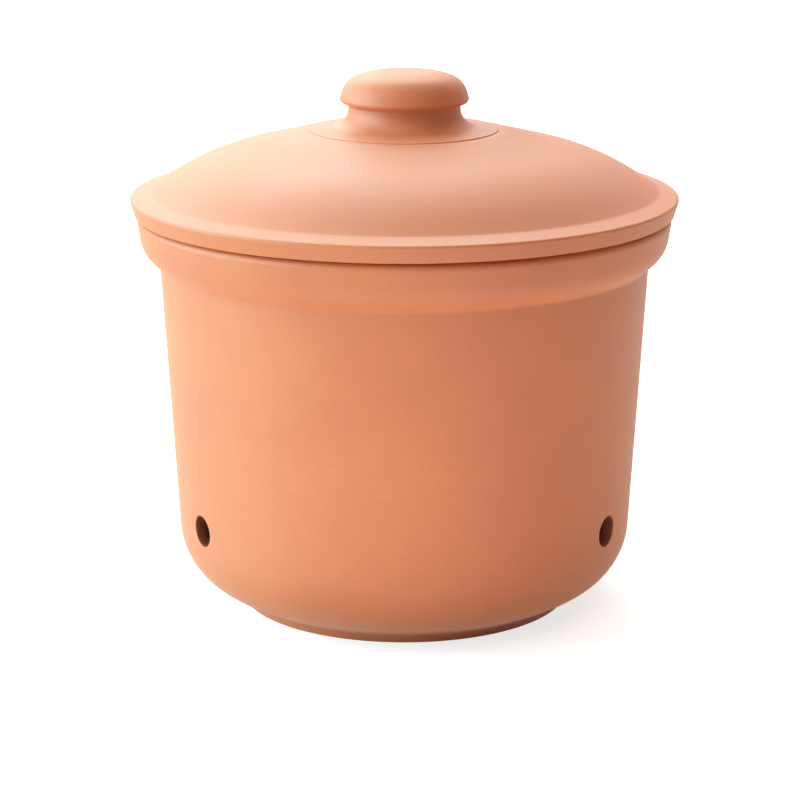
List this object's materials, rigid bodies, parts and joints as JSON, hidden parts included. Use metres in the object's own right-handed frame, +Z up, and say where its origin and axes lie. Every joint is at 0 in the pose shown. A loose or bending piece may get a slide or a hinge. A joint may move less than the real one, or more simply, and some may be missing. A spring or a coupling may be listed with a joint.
{
  "type": "potato keeper",
  "caption": "Round unglazed terracotta potato keeper: tapered pot with a rolled collar and low air vents, and a domed lid with a knob that lifts off.",
  "frame": {"origin": "middle of the foot ring, on the surface the pot stands on", "axes": "+Z up along the axis of the pot, lid and knob; the front faces -Y, between two of the vents; +X to the right as seen from the front"},
  "size_m": [0.2598, 0.2598, 0.256],
  "materials": {
    "terracotta": "matt, unglazed, finely smoothed fired clay"
  },
  "bodies": {
    "pot": {"pot": "terracotta"},
    "lid": {"lid": "terracotta", "knob": "terracotta"}
  },
  "joints": [
    {"name": "lid_lift", "type": "slide", "parent": "pot", "child": "lid", "axis": [0, 0, 1], "range_m": [0, 0.15]}
  ]
}
